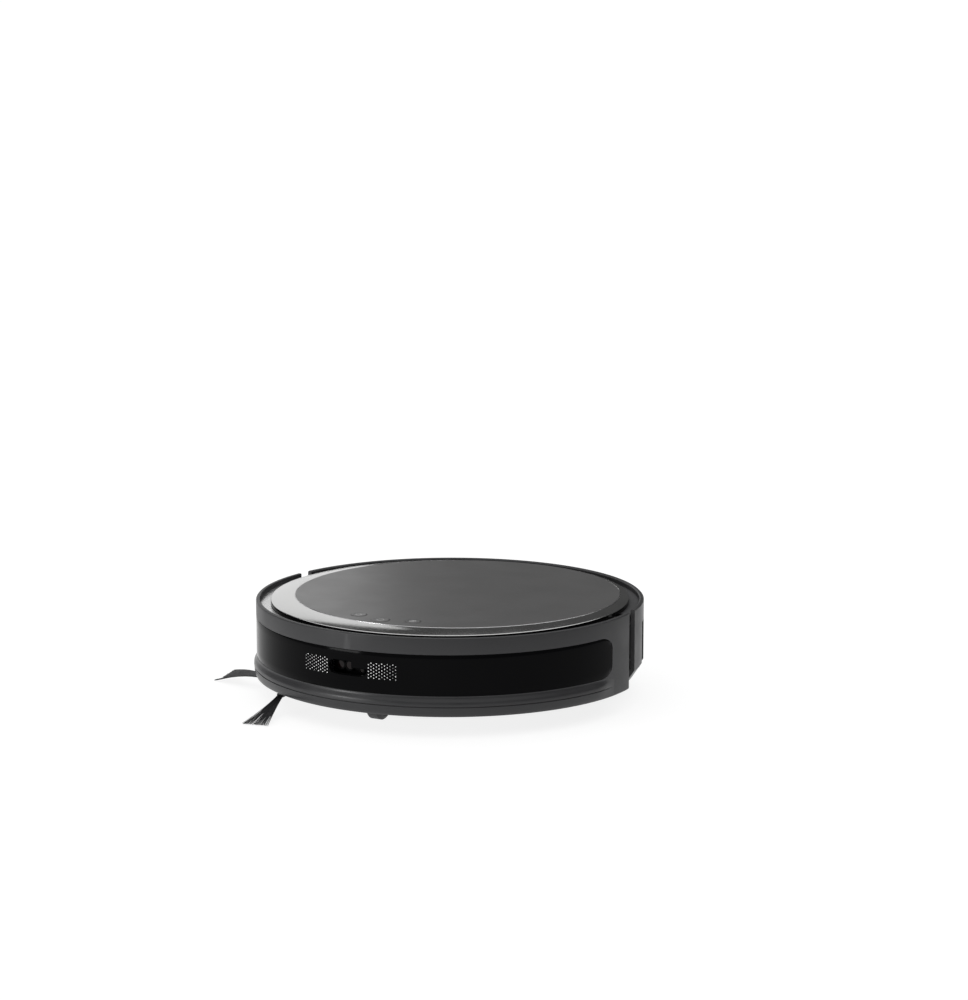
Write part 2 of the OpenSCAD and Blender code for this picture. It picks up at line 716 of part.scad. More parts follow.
module hub() color(satin_grey) difference() {
  union() {
    rod_x(hub_r, wheel_in + 0.6, wheel_out - 1.4, wheel_y, wheel_z);
    rod_x(axle_r, arm_out - 8, wheel_in + 1, wheel_y, wheel_z);
  }
  difference() {
    rod_x(hub_r - 3, wheel_out - 6, wheel_out, wheel_y, wheel_z);
    rod_x(7, wheel_out - 7, wheel_out + 1, wheel_y, wheel_z);
  }
  for (k = [0 : 5]) translate([0, wheel_y, wheel_z]) rotate([k * 60, 0, 0]) rod_x(3.6, wheel_in - 1, wheel_out, 0, 15);
}
module hub_left() hub();
module hub_right() mirror([1, 0, 0]) hub();

module tyre() color(black) translate([0, wheel_y, wheel_z]) difference() {
  rotate([90, 0, 90]) rotate_extrude($fn = 96) polygon([
    [hub_r + hair, wheel_in], [wheel_r - 1.4, wheel_in], [wheel_r, wheel_in + 2.4],
    [wheel_r, wheel_out - 2.4], [wheel_r - 1.4, wheel_out], [hub_r + hair, wheel_out]]);
  for (k = [0 : tread_count - 1]) rotate([(k + 0.5) * 360 / tread_count, 0, 0]) for (s = [-1, 1])
    translate([(wheel_in + wheel_out) / 2, 0, -wheel_r]) rotate([0, 0, s * 24]) translate([s > 0 ? 0.8 : -14.8, -1.2, -2])
      cube([14, 2.4, 3.8]);
}
module tyre_left() tyre();
module tyre_right() mirror([1, 0, 0]) tyre();

// --- caster ---
module caster_housing() color(charcoal) translate([0, caster_y, 0]) {
  out = caster_hole + caster_flange;
  low = pan_top + 0.1;
  roof = fork_z + fork_t + 1;
  both_sides() block([caster_hole, -out, low], [out, out, roof]);
  for (s = [0, 1]) mirror([0, s, 0]) block([hair - caster_hole, caster_hole, low], [caster_hole - hair, out, roof]);
  difference() {
    union() {
      block([-out, -out, roof + hair], [out, out, roof + caster_cup_t]);
      cylinder_from(8, roof + caster_cup_t - 0.1, fork_stem_top + 3);
    }
    cylinder_from(axle_bore, fork_z, fork_stem_top + 1);
  }
}
module cylinder_from(r, z0, z1) rod_z(r, z0, z1, 0, 0);

module caster_fork() color(satin_grey) translate([0, caster_y, 0]) difference() {
  union() {
    cylinder_from(fork_r, fork_z, fork_z + fork_t);
    cylinder_from(axle_r, fork_z + fork_t - hair, fork_stem_top);
    for (s = [-1, 1]) intersection() {
      block([s * (caster_w / 2 + 2.3) - 1.6, -9, caster_r - 5], [s * (caster_w / 2 + 2.3) + 1.6, 16, fork_z + 1]);
      cylinder_from(fork_r, 0, fork_z + 1);
    }
  }
  rod_x(2.02, -20, 20, caster_trail, caster_r);
}

module caster_wheel() color(black) translate([0, caster_y + caster_trail, caster_r]) rotate([90, 0, 90]) difference() {
  rotate_extrude() polygon([
    [0, -caster_w / 2], [caster_r - 3, -caster_w / 2], [caster_r, -caster_w / 2 + 3],
    [caster_r, caster_w / 2 - 3], [caster_r - 3, caster_w / 2], [0, caster_w / 2]]);
  translate([0, 0, -caster_w]) cylinder(h = 2 * caster_w, r = 2.05);
  for (s = [-1, 1]) difference() {
    translate([0, 0, s * caster_w / 2 - 1.5]) cylinder(h = 3, r = 9);
    translate([0, 0, s * caster_w / 2 - 2]) cylinder(h = 4, r = 4);
  }
}

module caster_axle() color(steel) rod_x(2, -caster_w / 2 - 3.6, caster_w / 2 + 3.6, caster_y + caster_trail, caster_r);

// --- dust drawer ---
module bin_body() color(smoke) {
  difference() {
    block([-bin_x, bin_front, bin_low], [bin_x, bin_back, bin_high]);
    block([-bin_x + bin_wall, bin_front + bin_wall, bin_low + bin_wall], [bin_x - bin_wall, bin_back - bin_wall, bin_high + 1]);
    block([-inlet_half, bin_front - 1, inlet_low], [inlet_half, bin_front + 5, inlet_high]);
    rod_y(port_r + port_wall + 0.05, bin_back - 5, bin_back + 1, 0, port_z);
    block([bin_x - 5, filter_y0 + 3, filter_z0 + 3], [bin_x + 1, filter_y1 - 3, filter_z1 - 3]);
  }
  both_sides() {
    flap_ear(inlet_half + 1.4, bin_front + bin_wall, bin_front + 6, inlet_high + 3);
    flap_ear(port_r + 3.4, bin_back - 6, bin_back - bin_wall, port_z + port_r + 3);
  }
}
module flap_ear(x, y0, y1, z) difference() {
  block([x, y0 - hair, z - 2.6], [x + 2, y1 + hair, z + 2.6]);
  rod_x(flap_bore, x - 1, x + 3, (y0 + y1) / 2, z);
}

module inlet_flap() color(black) {
  z = inlet_high + 3;
  y = bin_front + bin_wall + (6 - bin_wall) / 2;
  rod_x(flap_pin, -inlet_half - 3, inlet_half + 3, y, z);
  block([-inlet_half - 0.6, y - 1.6, inlet_low - 1.5], [inlet_half + 0.6, y - 1.6 + flap_t, z]);
}

module evac_flap() color(black) {
  z = port_z + port_r + 3;
  y = bin_back - bin_wall - (6 - bin_wall) / 2;
  rod_x(flap_pin, -port_r - 5, port_r + 5, y, z);
  block([-port_r - 1.5, y + 1.6 - flap_t, port_z - port_r - 1.5], [port_r + 1.5, y + 1.6, z]);
}

module bin_lid() color(smoke) {
  block([-bin_x, bin_front, bin_high + hair], [bin_x, bin_back, bin_high + lid_t]);
  for (y = [60, 110]) block([-20, y, bin_high + lid_t - hair], [20, y + 3, bin_high + lid_t + 1.5]);
}

module bin_face() color(charcoal) difference() {
  union() {
    intersection() {
      sweep(shell_half, rear_deg) shell_profile();
      block([-face_x, 100, face_low], [face_x, body_r + 10, face_high]);
    }
    intersection() {
      union() {
        for (z = [face_low + 3, bin_high - 6]) block([-bin_x + 1, bin_back + hair, z], [bin_x - 1, body_r, z + 2]);
        for (x = [-50, 48]) block([x, bin_back + hair, face_low + 4], [x + 2, body_r, bin_high - 2]);
        rod_y(port_r + port_wall, bin_back - bin_wall, body_r, 0, port_z);
      }
      rod_z(wall_in + 1, 0, body_h, 0, 0, $fn = ring_fn);
    }
  }
  rod_y(port_r, bin_back - 5, body_r + 5, 0, port_z);
  rod_y(port_r + port_wall + 1.5, port_mouth, body_r + 5, 0, port_z);
  rod_y(release_r + 0.3, bin_back, body_r + 5, 0, release_z);
}

module release_button() color(black) translate([0, 0, release_z]) rotate([-90, 0, 0]) rotate_extrude() polygon([
  [0, wall_in - 4], [release_r + 1.2, wall_in - 4], [release_r + 1.2, wall_in - 0.6], [release_r, wall_in - 0.6],
  [release_r, body_r - 0.2], [release_r - 0.8, body_r + 0.6], [0, body_r + 0.6]]);

module filter_frame() color(charcoal) difference() {
  block([bin_x - bin_wall - 7, filter_y0, filter_z0], [bin_x - bin_wall - 0.1, filter_y1, filter_z1]);
  block([bin_x - 20, filter_y0 + 3, filter_z0 + 3], [bin_x, filter_y1 - 3, filter_z1 - 3]);
}

module filter_pleats() color(filter_white) {
  folds = 11;
  near = bin_x - bin_wall - 6.4;
  far = bin_x - bin_wall - 0.8;
  paper = 0.7;
  pitch = (filter_y1 - filter_y0 - 6.4) / (2 * folds);
  crest = [for (k = [0 : 2 * folds]) [k % 2 == 0 ? near : far - paper, filter_y0 + 3.2 + k * pitch]];
  back = [for (k = [2 * folds : -1 : 0]) [k % 2 == 0 ? near + paper : far, filter_y0 + 3.2 + k * pitch]];
  translate([0, 0, filter_z0 + 3.1]) linear_extrude(filter_z1 - filter_z0 - 6.2) polygon(concat(crest, back));
}

// --- fan ---
module fan_housing() color(charcoal) difference() {
  union() {
    rod_x(fan_r, fan_in, fan_out, fan_y, fan_z);
    block([fan_in + 6, fan_y + 8, fan_z + 3], [fan_in + 22, fan_y + 28, fan_z + 21]);
  }
  rod_x(fan_r - fan_wall, fan_in + fan_wall, fan_out - fan_wall, fan_y, fan_z);
  rod_x(14, fan_in - 1, fan_in + 3, fan_y, fan_z);
  rod_x(2.6, fan_out - 3, fan_out + 1, fan_y, fan_z);
  block([fan_in + 8, fan_y + 4, fan_z + 5], [fan_in + 20, fan_y + 29, fan_z + 19]);
}

module fan_motor() color(steel) difference() {
  rod_x(fan_motor_r, fan_out + hair, fan_motor_end, fan_y, fan_z);
  rod_x(2.05, fan_out - 1, fan_out + 9, fan_y, fan_z);
}

module impeller() color(satin_grey) {
  rod_x(impeller_r, fan_out - 6, fan_out - 4, fan_y, fan_z);
  rod_x(5, fan_in + 7, fan_out - 5, fan_y, fan_z);
  rod_x(2, fan_out - 5, fan_out + 8, fan_y, fan_z);
  for (k = [0 : impeller_blades - 1]) translate([0, fan_y, fan_z]) rotate([k * 360 / impeller_blades, 0, 0])
    translate([fan_in + 5, 3.5, 7.5]) rotate([-24, 0, 0]) cube([fan_out - fan_in - 10.5, 1.4, 10.5]);
}

chassis();
chassis_screws();
deck_frame();
deck_posts();
top_cover();
top_panel();
panel_ring();
rear_shell();
vent_grilles();
sensor_pod();
sensor_lenses();
main_board();
battery_pack();
battery_door();
brush_housing();
brush_guard();
brush_gearbox();
brush_motor();
intake_duct();
side_brush_gearbox();
fan_housing();
fan_motor();
speaker();
wheel_pods();
arm_springs();
caster_housing();
cliff_sensors();
charge_contacts();
bumper_switches();
bumper_springs();
bumper_shell();
bumper_window();
bumper_lip();
brush_core();
brush_strips();
brush_bearings();
side_brush_hub();
side_brush_bristles();
side_brush_screw();
arm_left();
arm_right();
hub_left();
hub_right();
tyre_left();
tyre_right();
caster_fork();
caster_wheel();
caster_axle();
bin_body();
bin_face();
bin_lid();
filter_frame();
filter_pleats();
evac_flap();
inlet_flap();
release_button();
button_left();
button_middle();
button_right();
impeller();
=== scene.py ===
"""Looks for a low round robot vacuum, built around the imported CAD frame."""

import math
import random

import bmesh
import bpy
from mathutils import Matrix, Vector


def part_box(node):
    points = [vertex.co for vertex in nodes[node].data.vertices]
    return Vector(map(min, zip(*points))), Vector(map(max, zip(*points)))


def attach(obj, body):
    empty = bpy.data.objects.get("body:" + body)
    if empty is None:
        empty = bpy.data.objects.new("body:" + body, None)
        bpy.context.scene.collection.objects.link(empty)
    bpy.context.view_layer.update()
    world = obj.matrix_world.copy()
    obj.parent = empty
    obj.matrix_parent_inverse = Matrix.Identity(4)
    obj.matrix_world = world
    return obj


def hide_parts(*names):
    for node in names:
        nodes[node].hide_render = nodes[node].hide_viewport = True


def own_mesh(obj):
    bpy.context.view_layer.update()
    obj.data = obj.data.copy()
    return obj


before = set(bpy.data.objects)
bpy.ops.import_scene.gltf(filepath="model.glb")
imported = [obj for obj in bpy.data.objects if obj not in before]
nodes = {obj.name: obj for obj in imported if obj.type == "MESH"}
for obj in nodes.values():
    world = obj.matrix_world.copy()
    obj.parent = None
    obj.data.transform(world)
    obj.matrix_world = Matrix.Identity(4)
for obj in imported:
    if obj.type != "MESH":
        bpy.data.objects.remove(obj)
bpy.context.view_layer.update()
random.seed(7)
MM = 0.001
TAU = 2 * math.pi

# ---------------------------------------------------------------- camera
CAMERA_AT = Vector((1.4683, -2.4844, 0.7007))
CAMERA_LOOKS = Vector((-0.4917, 0.8517, -0.1814))
lens = bpy.data.cameras.new("camera")
lens.lens = 122.4
lens.sensor_width = 36
camera = bpy.data.objects.new("camera", lens)
bpy.context.scene.collection.objects.link(camera)
camera.location = CAMERA_AT
camera.rotation_euler = CAMERA_LOOKS.to_track_quat("-Z", "Y").to_euler()
bpy.context.scene.camera = camera

# ---------------------------------------------------------------- sizes, from the frame
shell_low, shell_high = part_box("bumper_shell")
WALL_R = shell_high.x
RIM_Z = shell_high.z
BUMPER_LOW = shell_low.z
lip_low, lip_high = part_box("bumper_lip")
LIP_R = -lip_low.y
cover_low, cover_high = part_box("top_cover")
COVER_R = cover_high.x
panel_low, panel_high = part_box("top_panel")
PANEL_R = (panel_high.x - panel_low.x) / 2
PANEL_Y = (panel_high.y + panel_low.y) / 2
PANEL_Z = panel_high.z
window_low, window_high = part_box("bumper_window")
WALL_T = 3.8 * MM
BUMPER_HALF = math.radians(95.4)
WINDOW_HALF = math.radians(85)
WINDOW_CORNER = 10 * MM
WINDOW_CORNER_LONG = 16 * MM
LIP_HALF = math.radians(86)
FRONT = math.radians(270)
SLOT_Z = 54 * MM
SLOT_W = 37 * MM
SLOT_H = 11.5 * MM
STEP_X = 4 * MM
STEP_Z = 0.4 * MM


# ---------------------------------------------------------------- materials
BROAD_SCALE = 26
# Pointiness range over which sharply convex edges are painted paler, a painted edge highlight.
EDGE_HIGHLIGHT_RIDGE = (0.53, 0.64)


def noise(tree, scale, detail, where):
    """The output of a noise texture read at where."""
    node = tree.nodes.new("ShaderNodeTexNoise")
    node.inputs["Scale"].default_value = scale
    node.inputs["Detail"].default_value = detail
    tree.links.new(where, node.inputs["Vector"])
    return node.outputs[0]


def remap(tree, value, low, high, to_low, to_high):
    """value, taken from low..high to to_low..to_high."""
    node = tree.nodes.new("ShaderNodeMapRange")
    limits = (("From Min", low), ("From Max", high), ("To Min", to_low), ("To Max", to_high))
    for label, limit in limits:
        node.inputs[label].default_value = limit
    tree.links.new(value, node.inputs["Value"])
    return node.outputs[0]


def paint_edge_highlight(tree, tone, color, edge_highlight):
    """tone, mixed with a paler color where the surface turns outwards sharply: a painted edge highlight."""
    edges = tree.nodes.new("ShaderNodeNewGeometry")
    mix = tree.nodes.new("ShaderNodeMix")
    mix.data_type = "RGBA"
    tree.links.new(remap(tree, edges.outputs["Pointiness"], *EDGE_HIGHLIGHT_RIDGE, 0, edge_highlight), mix.inputs["Factor"])
    tree.links.new(tone, mix.inputs["A"])
    mix.inputs["B"].default_value = tuple(min(1, c * 1.7 + 0.06) for c in color) + (1,)
    return mix.outputs["Result"]


def surface(name, color, rough, metal=0.0, grain=1800.0, bump=0.06, depth=0.00006, rough_spread=0.08,
            color_spread=0.06, edge_highlight=0.0, ior=1.5, transmission=0.0, stretch=(1, 1, 1), specular=0.5):
    """A Principled surface with fine grain, slow roughness and colour drift and, if asked, paler edges
    painted on as an edge highlight.
    """
    m = bpy.data.materials.new(name)
    m.use_nodes = True
    tree = m.node_tree
    link = tree.links.new
    shader = tree.nodes["Principled BSDF"]
    where = tree.nodes.new("ShaderNodeTexCoord")
    scale = tree.nodes.new("ShaderNodeMapping")
    scale.inputs["Scale"].default_value = stretch
    link(where.outputs["Object"], scale.inputs["Vector"])
    fine = noise(tree, grain, 3, scale.outputs[0])
    broad = noise(tree, BROAD_SCALE, 4, scale.outputs[0])
    bumps = tree.nodes.new("ShaderNodeBump")
    bumps.inputs["Strength"].default_value = bump
    bumps.inputs["Distance"].default_value = depth
    link(fine, bumps.inputs["Height"])
    link(bumps.outputs[0], shader.inputs["Normal"])
    roughness = remap(tree, broad, 0.3, 0.7, max(0.02, rough - rough_spread), min(1.0, rough + rough_spread))
    link(roughness, shader.inputs["Roughness"])
    paint = tree.nodes.new("ShaderNodeVectorMath")
    paint.operation = "SCALE"
    paint.inputs[0].default_value = color
    link(remap(tree, broad, 0.25, 0.75, 1 - color_spread, 1 + color_spread), paint.inputs["Scale"])
    tone = paint.outputs[0]
    # Paler convex edges painted into the colour: a painted edge highlight.
    if edge_highlight:
        tone = paint_edge_highlight(tree, tone, color, edge_highlight)
    link(tone, shader.inputs["Base Color"])
    shader.inputs["Metallic"].default_value = metal
    shader.inputs["IOR"].default_value = ior
    shader.inputs["Specular IOR Level"].default_value = specular
    shader.inputs["Transmission Weight"].default_value = transmission
    return m


# The edge amounts below paint sharply convex edges paler: a painted edge highlight.
CHARCOAL = surface("charcoal_plastic", (0.034, 0.034, 0.0355), 0.42, grain=2600, bump=0.10, edge_highlight=0.25,
                   ior=1.36, specular=0.4)
LIP = surface("lip_plastic", (0.030, 0.030, 0.0315), 0.34, grain=2600, bump=0.10, edge_highlight=0.3, specular=0.3)
PANEL = surface("panel_plastic", (0.085, 0.084, 0.084), 0.36, grain=3200, bump=0.05, rough_spread=0.03,
                color_spread=0.02)
SILVER = surface("silver_plastic", (0.50, 0.50, 0.495), 0.14, metal=1.0, grain=2600, bump=0.008,
                 rough_spread=0.03, color_spread=0.03)
MOAT = surface("moat_silver", (0.60, 0.60, 0.60), 0.26, metal=0.9, grain=2400, bump=0.02, color_spread=0.03)
GLOSS = surface("gloss_black", (0.003, 0.003, 0.0033), 0.12, grain=900, bump=0.01, rough_spread=0.03,
                color_spread=0.1, specular=0.03)
BLACK = surface("black_plastic", (0.022, 0.022, 0.024), 0.52, grain=2200, bump=0.16, edge_highlight=0.15)
GREY = surface("grey_plastic", (0.16, 0.16, 0.165), 0.48, grain=2200, bump=0.12, edge_highlight=0.2)
BRIGHT = surface("bright_ring", (0.78, 0.78, 0.79), 0.16, metal=1.0, grain=1200, bump=0.03, rough_spread=0.05)
STEEL = surface("steel", (0.56, 0.56, 0.58), 0.3, metal=1.0, grain=900, bump=0.1, rough_spread=0.1,
                stretch=(1, 1, 7))
BRASS = surface("contact_brass", (0.78, 0.62, 0.33), 0.24, metal=1.0, grain=1400, bump=0.08, rough_spread=0.1)
BOARD = surface("circuit_board", (0.03, 0.16, 0.075), 0.4, grain=700, bump=0.2, color_spread=0.2)
WRAP = surface("battery_wrap", (0.06, 0.085, 0.16), 0.3, grain=600, bump=0.25, depth=0.0002)
SMOKE = surface("smoke_plastic", (0.10, 0.10, 0.11), 0.16, grain=900, bump=0.04, transmission=0.55,
                rough_spread=0.06)
PAPER = surface("filter_paper", (0.80, 0.80, 0.75), 0.85, grain=1500, bump=0.35, depth=0.0002)
RUBBER = surface("soft_rubber", (0.026, 0.026, 0.026), 0.62, grain=1700, bump=0.2, edge_highlight=0.1)
TREAD = surface("tread_rubber", (0.032, 0.032, 0.033), 0.74, grain=1200, bump=0.3, depth=0.00015, edge_highlight=0.35)
RED = surface("red_rubber", (0.30, 0.035, 0.02), 0.5, grain=1500, bump=0.15, edge_highlight=0.2)
NYLON = surface("bristle_nylon", (0.040, 0.040, 0.042), 0.4, grain=2500, bump=0.2, color_spread=0.25)
GLASS = surface("lens_glass", (0.006, 0.002, 0.002), 0.08, grain=500, bump=0.01, rough_spread=0.02,
                specular=0.2)
PRINT = surface("pale_print", (0.62, 0.62, 0.62), 0.4, grain=2500, bump=0.04)
DOT_NEAR = surface("dot_bright", (0.85, 0.85, 0.85), 0.4, grain=2500, bump=0.04)
DOT_MID = surface("dot_mid", (0.50, 0.50, 0.50), 0.4, grain=2500, bump=0.04)
DOT_FAR = surface("dot_dim", (0.20, 0.20, 0.20), 0.4, grain=2500, bump=0.04)


# ---------------------------------------------------------------- mesh helpers
WELD = 1e-7


def solid_object(name, verts, faces, weld=0.0):
    """An object of one mesh, with its faces turned outwards, and points closer than weld joined."""
    mesh = bpy.data.meshes.new(name)
    mesh.from_pydata([tuple(v) for v in verts], [], faces)
    mesh.validate()
    bm = bmesh.new()
    bm.from_mesh(mesh)
    if weld:
        bmesh.ops.remove_doubles(bm, verts=bm.verts, dist=weld)
    bmesh.ops.recalc_face_normals(bm, faces=bm.faces)
    bm.to_mesh(mesh)
    bm.free()
    o = bpy.data.objects.new(name, mesh)
    bpy.context.scene.collection.objects.link(o)
    return o


def smooth(mesh, crease):
    """Smooth shading, broken where faces meet at more than crease degrees."""
    mesh.polygons.foreach_set("use_smooth", [True] * len(mesh.polygons))
    mesh.set_sharp_from_angle(angle=math.radians(crease))


def make(name, verts, faces, material, body, node=None, slot=None, crease=32):
    """A visible piece that rides on body and, if asked, stands in for a CAD node."""
    o = solid_object(name, verts, faces, WELD)
    smooth(o.data, crease)
    o.data.materials.append(material)
    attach(o, body)
    if node:
        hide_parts(node)
    return o


def rings(columns, whole):
    """Faces that join equal closed columns of points, into a ring if whole, else into a capped tube."""
    count, size = len(columns), len(columns[0])
    faces = []
    for i in range(count if whole else count - 1):
        a, b = i * size, ((i + 1) % count) * size
        faces += [(a + j, a + (j + 1) % size, b + (j + 1) % size, b + j) for j in range(size)]
    if not whole:
        faces += [tuple(range(size)), tuple(range((count - 1) * size, count * size))]
    return faces


def loft(name, columns, whole, material, body, **extra):
    """A piece skinned over equal closed columns of points."""
    return make(name, sum(columns, []), rings(columns, whole), material, body, **extra)


def polar(r, a, z, cx=0.0, cy=0.0):
    """The point at radius r and angle a round (cx, cy)."""
    return (r * math.cos(a) + cx, r * math.sin(a) + cy, z)


def round_steps(steps):
    """Even angles right round."""
    return [TAU * i / steps for i in range(steps)]


def round_piece(name, section, steps, cx, cy, material, body, **extra):
    """A section of (r, z) turned right round the vertical axis through (cx, cy)."""
    columns = [[polar(r, a, z, cx, cy) for r, z in section] for a in round_steps(steps)]
    return loft(name, columns, True, material, body, **extra)


def by_columns(name, angles, profile, material, body, **extra):
    """A part turn about the body's own axis, whose section profile(angle) may change as it goes."""
    columns = [[polar(r, a, z) for r, z in profile(a)] for a in angles]
    return loft(name, columns, False, material, body, **extra)


def arc(cr, cz, radius, a0, a1, steps=5):
    """Points of a small round in a profile, angles in degrees, r across and z up."""
    return [(cr + radius * math.cos(math.radians(a0 + (a1 - a0) * i / steps)),
             cz + radius * math.sin(math.radians(a0 + (a1 - a0) * i / steps))) for i in range(steps + 1)]


def cut(obj, cutter):
    """Takes cutter out of obj for good, then removes cutter."""
    m = obj.modifiers.new("cut", "BOOLEAN")
    m.object = cutter
    m.operation = "DIFFERENCE"
    m.solver = "EXACT"
    result = bpy.data.meshes.new_from_object(obj.evaluated_get(bpy.context.evaluated_depsgraph_get()))
    obj.modifiers.clear()
    obj.data = result
    bpy.data.objects.remove(cutter)
    smooth(result, 32)


def prism(name, outline, matrix, depth):
    """A plain cutter: an outline of (x, y) pushed out to depth along its own z, then placed by matrix."""
    n = len(outline)
    verts = [matrix @ Vector((x, y, z)) for z in (0, depth) for x, y in outline]
    faces = [tuple(range(n)), tuple(range(n, 2 * n))]
    faces += [(i, (i + 1) % n, n + (i + 1) % n, n + i) for i in range(n)]
    return solid_object(name, verts, faces)


def dress(name, material, bevel, segments=2):
    """Finish for a CAD node that is shown as it is: its material and softly rounded edges."""
    o = nodes[name]
    o.data.materials.clear()
    o.data.materials.append(material)
    smooth(o.data, 28)
    if bevel:
        m = o.modifiers.new("soft_edges", "BEVEL")
        m.width = bevel * MM
        m.segments = segments
        m.limit_method = "ANGLE"
        m.angle_limit = math.radians(38)


# ---------------------------------------------------------------- bumper
TOUCHING = 1e-9
# Radians past the window's ends where the wall is plain again.
PAST_WINDOW = 0.0006
# Radians before the bumper's ends where its wall has two extra columns.
END_EXTRAS = (0.003, 0.012)
CORNER_STEPS = 12
FRONT_STEPS = 110
END_STEPS = 8
FLANGE_W = 12.7 * MM
FLANGE_T = 1.6 * MM
FLANGE_DROP = 4.4 * MM
POCKET_DEEP = 1.0 * MM
POCKET_GAP = 0.15 * MM
FOOT_ROUND = 1.2 * MM
RIM_OUTER_ROUND = 1.3 * MM
RIM_INNER_ROUND = 0.9 * MM
EDGE_BREAK = 0.2 * MM


def window_reach(a):
    """Lowest and highest z of the window at an angle, or None past its rounded ends."""
    off = abs(a - FRONT)
    if off > WINDOW_HALF + TOUCHING:
        return None
    left = (WINDOW_HALF - off) * WALL_R
    if left >= WINDOW_CORNER_LONG:
        return window_low.z, window_high.z
    rise = WINDOW_CORNER * (1 - math.sqrt(max(0.0, 1 - (1 - left / WINDOW_CORNER_LONG) ** 2)))
    return window_low.z + rise, window_high.z - rise


def bumper_angles():
    """Even steps round the front, with fine ones where the window's corners turn."""
    corner = WINDOW_CORNER_LONG / WALL_R
    past = WINDOW_HALF + PAST_WINDOW
    half = {past, BUMPER_HALF}
    half.update(BUMPER_HALF - before for before in END_EXTRAS)
    quarter = [math.pi / 2 * i / CORNER_STEPS for i in range(CORNER_STEPS + 1)]
    half.update(WINDOW_HALF - corner * (1 - math.cos(q)) for q in quarter)
    half.update((WINDOW_HALF - corner) * i / FRONT_STEPS for i in range(1, FRONT_STEPS))
    half.update(past + (BUMPER_HALF - WINDOW_HALF) * i / END_STEPS for i in range(1, END_STEPS - 1))
    half = sorted(half)
    return [FRONT - h for h in reversed(half)] + [FRONT] + [FRONT + h for h in half]


def shell_profile(a):
    """Section of the bumper wall: plain foot, pocket for the window, rounded rim and flange inside."""
    r_in = WALL_R - WALL_T
    reach = window_reach(a)
    mid = (window_low.z + window_high.z) / 2
    z0, z1 = reach or (mid - 9 * MM, mid + 9 * MM)
    deep, gap, step = (POCKET_DEEP, POCKET_GAP, EDGE_BREAK) if reach else (0.0, 0.0, 0.0)
    shelf = RIM_Z - FLANGE_DROP
    p = [(r_in, BUMPER_LOW), (WALL_R - FOOT_ROUND, BUMPER_LOW), (WALL_R, BUMPER_LOW + FOOT_ROUND)]
    p += [(WALL_R, z0 - gap - EDGE_BREAK), (WALL_R - step, z0 - gap), (WALL_R - deep, z0 - gap)]
    p += [(WALL_R - deep, z1 + gap), (WALL_R - step, z1 + gap), (WALL_R, z1 + gap + EDGE_BREAK)]
    p += arc(WALL_R - RIM_OUTER_ROUND, RIM_Z - RIM_OUTER_ROUND, RIM_OUTER_ROUND, 0, 90)
    p += arc(r_in + RIM_INNER_ROUND, RIM_Z - RIM_INNER_ROUND, RIM_INNER_ROUND, 90, 180)
    p += [(r_in, shelf), (r_in - FLANGE_W, shelf)]
    p += [(r_in - FLANGE_W, shelf - FLANGE_T), (r_in, shelf - FLANGE_T)]
    return p


def window_profile(a):
    """Section of the window strip, its two outer edges softened."""
    z0, z1 = window_reach(a)
    out, back, soft, bite = WALL_R - 0.05 * MM, WALL_R - 0.95 * MM, 0.3 * MM, 0.1 * MM
    face = [(out, z0 + soft + (z1 - z0 - 2 * soft) * i / 6) for i in range(1, 6)]
    return ([(back, z0), (out - soft, z0), (out - bite, z0 + bite), (out, z0 + soft)] + face
            + [(out, z1 - soft), (out - bite, z1 - bite), (out - soft, z1), (back, z1)])


def slot_outline(grow):
    """Outline of the sensor slot as (x, z) round its middle: a stadium, stepped down at its upper right."""
    corner = 0.9 * MM
    half_w, r = SLOT_W / 2 + grow, SLOT_H / 2 + grow
    step_x, step_z = STEP_X + grow, STEP_Z + grow
    points = []
    for i in range(13):
        a = math.radians(90 + 180 * i / 12)
        points.append((-half_w + r + r * math.cos(a), r * math.sin(a)))
    turn_in = math.degrees(math.asin(step_z / r))
    for i in range(9):
        a = math.radians(-90 + (90 + turn_in) * i / 8)
        points.append((half_w - r + r * math.cos(a), r * math.sin(a)))
    inside = (step_x + corner, step_z + corner, 270, 180)
    outside = (step_x - corner, r - corner, 0, 90)
    for cx, cz, a0, a1 in (inside, outside):
        for i in range(5):
            a = math.radians(a0 + (a1 - a0) * i / 4)
            points.append((cx + corner * math.cos(a), cz + corner * math.sin(a)))
    return points


def slot_cutter(grow):
    """A bar of the slot's outline, from 10 mm in front of the wall to 20 mm behind it."""
    front, depth = 10 * MM, 30 * MM
    place = Matrix.Translation((0, -WALL_R - front, SLOT_Z)) @ Matrix.Rotation(math.radians(-90), 4, "X")
    return prism("slot_cutter", [(x, -z) for x, z in slot_outline(grow)], place, depth)


def tint_inside(obj):
    """Silver on the flange inside the rim, black on the rim's inner wall."""
    obj.data.materials.append(MOAT)
    obj.data.materials.append(BLACK)
    wall_in = WALL_R - WALL_T
    for face in obj.data.polygons:
        r = math.hypot(face.center.x, face.center.y)
        if r < wall_in - 0.2 * MM:
            face.material_index = 1
        elif r < wall_in + 0.3 * MM and abs(face.normal.z) < 0.7:
            face.material_index = 2


def wall_y(x, inset):
    """y of a point at x that lies inset behind the front of the wall."""
    return -math.sqrt((WALL_R - inset) ** 2 - x * x)


def slot_rim():
    """A thin soft frame round the sensor slot, following the curve of the wall."""
    deep = 3.4 * MM
    columns = []
    for (xo, zo), (xi, zi) in zip(slot_outline(0.55 * MM), slot_outline(-0.1 * MM)):
        xm, zm = (xo + xi) / 2, (zo + zi) / 2
        section = [(xo, zo, 0.1 * MM), (xm, zm, -0.05 * MM), (xi, zi, 0.5 * MM)]
        section += [(xi, zi, deep), (xo, zo, deep)]
        columns.append([(x, wall_y(x, inset), SLOT_Z + z) for x, z, inset in section])
    loft("slot_rim", columns, True, GLOSS, "bumper", slot="gloss_black")


